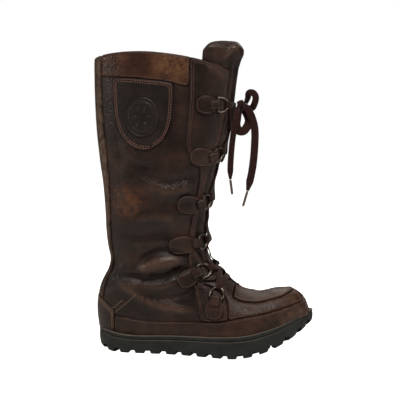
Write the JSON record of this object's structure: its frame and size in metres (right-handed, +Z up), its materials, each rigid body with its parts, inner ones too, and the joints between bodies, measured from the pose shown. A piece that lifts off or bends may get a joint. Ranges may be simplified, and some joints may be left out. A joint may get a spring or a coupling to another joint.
{
  "type": "boot",
  "caption": "Tall laced leather work boot with a moulded toe seam, wire lacing rings on leather tabs and a lugged rubber cup sole, right foot.",
  "frame": {"origin": "on the floor under the heel, in the middle of the heel's middle tread bar", "axes": "+X towards the toe, +Y towards the inner (medial) side, +Z up the shaft"},
  "size_m": [0.2939, 0.103, 0.412],
  "materials": {
    "sole_rubber": "matte",
    "insole_fabric": "matte",
    "dark_leather": "oiled, pebbled",
    "foot_leather": "oiled, pebbled",
    "collar_leather": "oiled, pebbled",
    "ring_steel": "polished wire",
    "lace_textile": "woven, waxed",
    "aglet_metal": "worn"
  },
  "bodies": {
    "root": {"outsole": "sole_rubber", "insole": "insole_fabric", "upper": "dark_leather", "back_strip": "dark_leather", "side_patch": "dark_leather", "badge": "dark_leather", "eyestay_lateral": "dark_leather", "eyestay_medial": "dark_leather", "tongue": "dark_leather", "tab_lateral_1": "dark_leather", "tab_lateral_2": "dark_leather", "tab_lateral_3": "dark_leather", "tab_lateral_4": "dark_leather", "tab_lateral_5": "dark_leather", "tab_lateral_6": "dark_leather", "tab_medial_1": "dark_leather", "tab_medial_2": "dark_leather", "tab_medial_3": "dark_leather", "tab_medial_4": "dark_leather", "tab_medial_5": "dark_leather", "tab_medial_6": "dark_leather", "rand": "foot_leather", "heel_counter": "foot_leather", "vamp": "foot_leather", "apron": "foot_leather", "collar_band_lateral": "collar_leather", "collar_band_medial": "collar_leather", "ring_lateral_1": "ring_steel", "ring_lateral_2": "ring_steel", "ring_lateral_3": "ring_steel", "ring_lateral_4": "ring_steel", "ring_lateral_5": "ring_steel", "ring_lateral_6": "ring_steel", "ring_medial_1": "ring_steel", "ring_medial_2": "ring_steel", "ring_medial_3": "ring_steel", "ring_medial_4": "ring_steel", "ring_medial_5": "ring_steel", "ring_medial_6": "ring_steel", "lace_crossings": "lace_textile", "lace_knot": "lace_textile", "bow_loop_small": "lace_textile", "bow_loop_broad": "lace_textile", "lace_end_long": "lace_textile", "lace_end_short": "lace_textile", "aglet_long": "aglet_metal", "aglet_short": "aglet_metal"}
  },
  "joints": []
}
